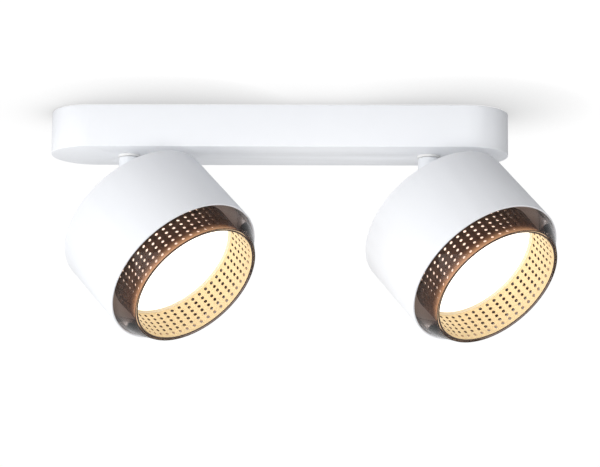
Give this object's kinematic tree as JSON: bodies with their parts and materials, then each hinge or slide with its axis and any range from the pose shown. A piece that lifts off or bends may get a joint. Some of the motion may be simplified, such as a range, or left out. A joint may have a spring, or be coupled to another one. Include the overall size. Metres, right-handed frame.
{
  "type": "spotlight bar",
  "caption": "Surface spotlight bar whose drum heads swivel on hollow stems and tilt on fork pins, each with a perforated ring inside a clear smoked front ring.",
  "frame": {"origin": "middle of the bar's mounting face, which lies on the ceiling", "axes": "+Z out of the mounting face, into the ceiling; +X along the bar; -Y towards the room's front, the way both heads lean"},
  "size_m": [0.3022, 0.1145, 0.1402],
  "materials": {
    "white_paint": "fine matt white powder coat",
    "zinc_steel": "zinc plated",
    "black_rubber": "smooth",
    "grey_plastic": "moulded, fine grain",
    "clear_white_plastic": "moulded",
    "brass": "turned",
    "lead_sheath": "soft sheath",
    "bush_nylon": "white nylon",
    "raw_aluminium": "die cast",
    "board_white": "white solder resist",
    "phosphor": "yellow phosphor",
    "white_plastic": "matt white moulding",
    "opal_plastic": "opal, lit evenly",
    "gold_sheet": "gold inside, dark brown outside",
    "smoked_clear": "clear smoked moulding, polished"
  },
  "bodies": {
    "bar": {"bar_cover": "white_paint", "ceiling_bracket": "zinc_steel", "cover_screws": "zinc_steel", "cable_grommet": "black_rubber", "led_driver": "grey_plastic", "driver_screws": "zinc_steel", "terminal_block": "clear_white_plastic", "earth_screw": "brass", "supply_links": "lead_sheath", "swivel_bushes": "bush_nylon", "rotation_stop_pegs": "zinc_steel", "supply_lead_left": "lead_sheath", "supply_lead_right": "lead_sheath"},
    "stem_left": {"swivel_stem_left": "white_paint", "tilt_pin_left": "zinc_steel", "stop_disc_left": "zinc_steel", "stem_nut_left": "zinc_steel"},
    "head_left": {"drum_housing_left": "white_paint", "hinge_bracket_left": "white_paint", "hinge_screws_left": "zinc_steel", "heat_sink_left": "raw_aluminium", "heat_sink_screws_left": "zinc_steel", "led_board_left": "board_white", "led_chips_left": "phosphor", "head_lead_left": "lead_sheath", "front_frame_left": "white_plastic", "diffuser_left": "opal_plastic", "perforated_ring_left": "gold_sheet", "smoked_ring_left": "smoked_clear"},
    "stem_right": {"swivel_stem_right": "white_paint", "tilt_pin_right": "zinc_steel", "stop_disc_right": "zinc_steel", "stem_nut_right": "zinc_steel"},
    "head_right": {"drum_housing_right": "white_paint", "hinge_bracket_right": "white_paint", "hinge_screws_right": "zinc_steel", "heat_sink_right": "raw_aluminium", "heat_sink_screws_right": "zinc_steel", "led_board_right": "board_white", "led_chips_right": "phosphor", "head_lead_right": "lead_sheath", "front_frame_right": "white_plastic", "diffuser_right": "opal_plastic", "perforated_ring_right": "gold_sheet", "smoked_ring_right": "smoked_clear"}
  },
  "joints": [
    {"name": "swivel_left", "type": "hinge", "parent": "bar", "child": "stem_left", "pos_m": [-0.09, 0, -0.058], "axis": [0, 0, 1], "range_deg": [-225.3, 114.7]},
    {"name": "tilt_left", "type": "hinge", "parent": "stem_left", "child": "head_left", "pos_m": [-0.09, 0, -0.058], "axis": [-0.5693, -0.8221, 0], "range_deg": [-93.7, 2.3]},
    {"name": "swivel_right", "type": "hinge", "parent": "bar", "child": "stem_right", "pos_m": [0.09, 0, -0.058], "axis": [0, 0, 1], "range_deg": [-218.5, 121.5]},
    {"name": "tilt_right", "type": "hinge", "parent": "stem_right", "child": "head_right", "pos_m": [0.09, 0, -0.058], "axis": [-0.6626, -0.749, 0], "range_deg": [-92.5, 3.5]}
  ]
}
